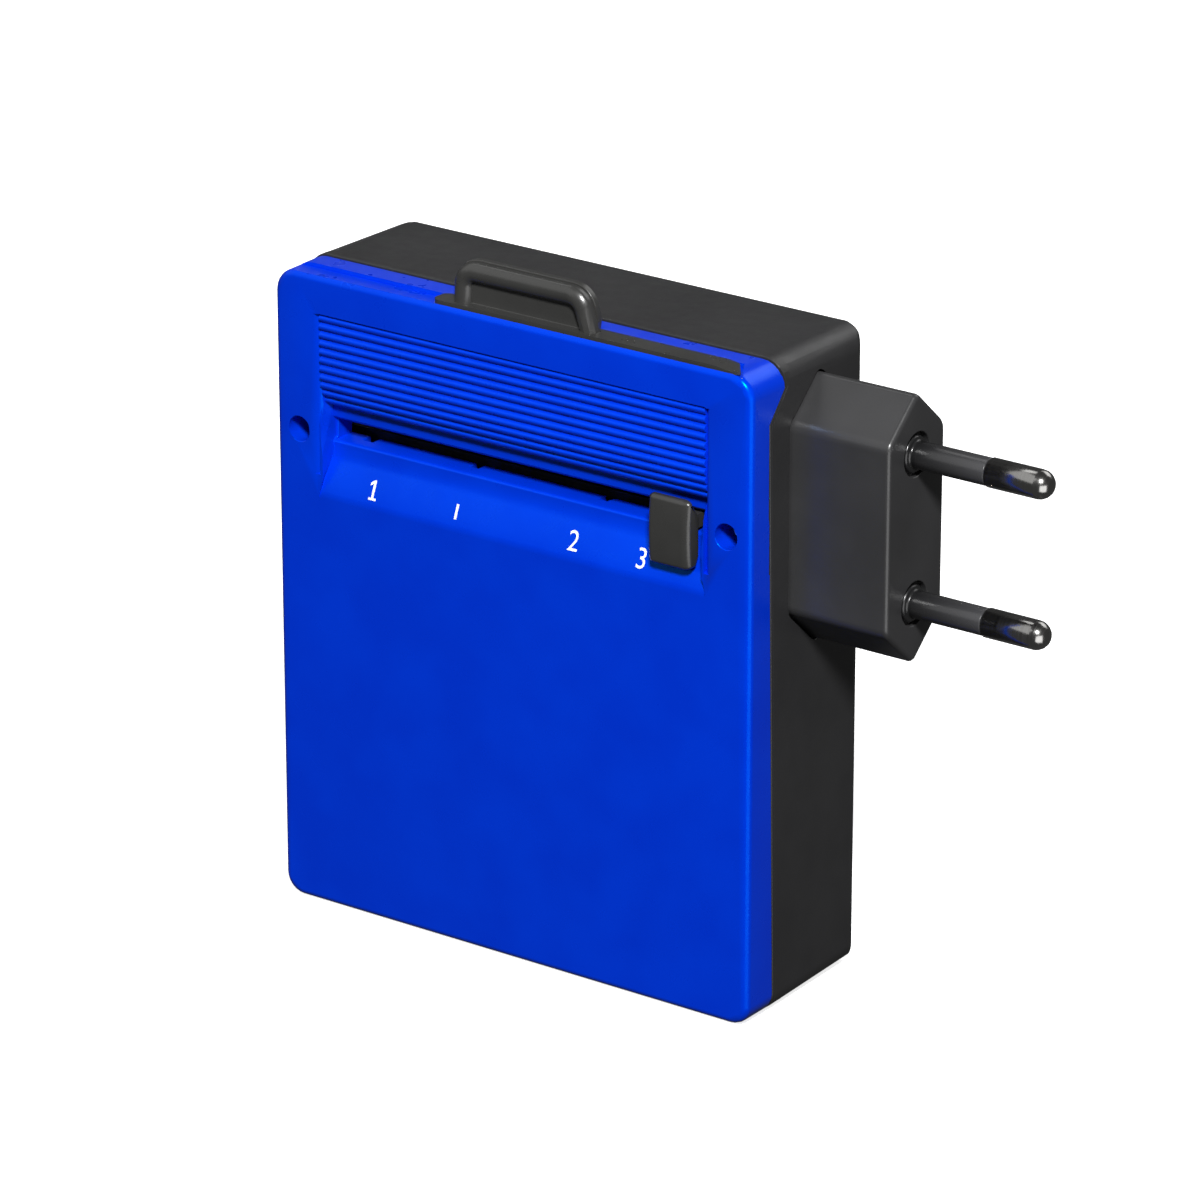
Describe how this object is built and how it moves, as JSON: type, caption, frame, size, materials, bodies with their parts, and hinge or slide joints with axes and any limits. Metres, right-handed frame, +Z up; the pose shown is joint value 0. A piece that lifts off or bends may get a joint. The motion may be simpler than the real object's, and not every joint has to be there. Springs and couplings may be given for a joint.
{
  "type": "universal travel adapter",
  "caption": "Slab-shaped travel adapter with a sliding plug selector, a pull-out European plug, twisting flat blades, a rear British plug, a base socket and a sliding strip with a finger grip on top.",
  "frame": {"origin": "centre of the housing's bottom face, where it stands", "axes": "+Z up the tall side, +X towards the European plug, -Y out of the front face with the selector"},
  "size_m": [0.1024, 0.0255, 0.0881],
  "materials": {
    "blue_cover": "fine satin moulding",
    "charcoal_shell": "fine textured moulding",
    "charcoal_plug": "satin moulding",
    "charcoal_grip": "satin moulding",
    "black_sleeve": "glossy",
    "nickel_pin": "bright plate",
    "pale_nylon": "natural nylon",
    "brass_pin": "bright",
    "brass_strip": "rolled strip",
    "steel_screw": "zinc plate",
    "spring_steel": "rolled strip",
    "fuse_glass": "clear tube"
  },
  "bodies": {
    "housing": {"rear_shell": "charcoal_shell", "front_cover": "blue_cover", "cover_screw_left": "steel_screw", "cover_screw_right": "steel_screw", "socket_insert": "charcoal_shell", "socket_contact_live": "brass_strip", "socket_contact_neutral": "brass_strip", "fuse": "fuse_glass", "fuse_clip_left": "brass_strip", "fuse_clip_right": "brass_strip", "bus_bar_live": "brass_strip", "bus_bar_neutral": "brass_strip"},
    "selector_carriage": {"carriage": "charcoal_plug", "selector_knob": "charcoal_grip", "detent_spring": "spring_steel", "blade_retainer": "pale_nylon", "euro_plug_block": "charcoal_plug", "block_screw_upper": "steel_screw", "block_screw_lower": "steel_screw", "euro_pin_upper": "nickel_pin", "euro_pin_lower": "nickel_pin", "euro_sleeve_upper": "black_sleeve", "euro_sleeve_lower": "black_sleeve", "plug_contact_live": "brass_strip", "plug_contact_neutral": "brass_strip"},
    "blade_upper": {"blade_barrel_upper": "pale_nylon", "plug_blade_upper": "nickel_pin"},
    "blade_lower": {"blade_barrel_lower": "pale_nylon", "plug_blade_lower": "nickel_pin"},
    "british_plug": {"uk_carriage": "pale_nylon", "uk_pin_live": "brass_pin", "uk_pin_neutral": "brass_pin", "uk_pin_earth": "brass_pin"},
    "grip": {"grip_slider": "charcoal_grip"}
  },
  "joints": [
    {"name": "selector_slide", "type": "slide", "parent": "housing", "child": "selector_carriage", "axis": [1, 0, 0], "range_m": [-0.0482, 0]},
    {"name": "blade_twist_upper", "type": "hinge", "parent": "selector_carriage", "child": "blade_upper", "pos_m": [0.017, 0.0018, 0.0691], "axis": [1, 0, 0], "range_deg": [0, 30]},
    {"name": "blade_twist_lower", "type": "hinge", "parent": "selector_carriage", "child": "blade_lower", "pos_m": [0.017, 0.0018, 0.0564], "axis": [1, 0, 0], "range_deg": [-30, 0]},
    {"name": "british_slide", "type": "slide", "parent": "housing", "child": "british_plug", "axis": [0, 1, 0], "range_m": [0, 0.017]},
    {"name": "grip_slide", "type": "slide", "parent": "housing", "child": "grip", "axis": [1, 0, 0], "range_m": [-0.017, 0]}
  ],
  "couplings": [
    {"joint": "blade_twist_lower", "follows": "blade_twist_upper", "ratio": -1}
  ]
}
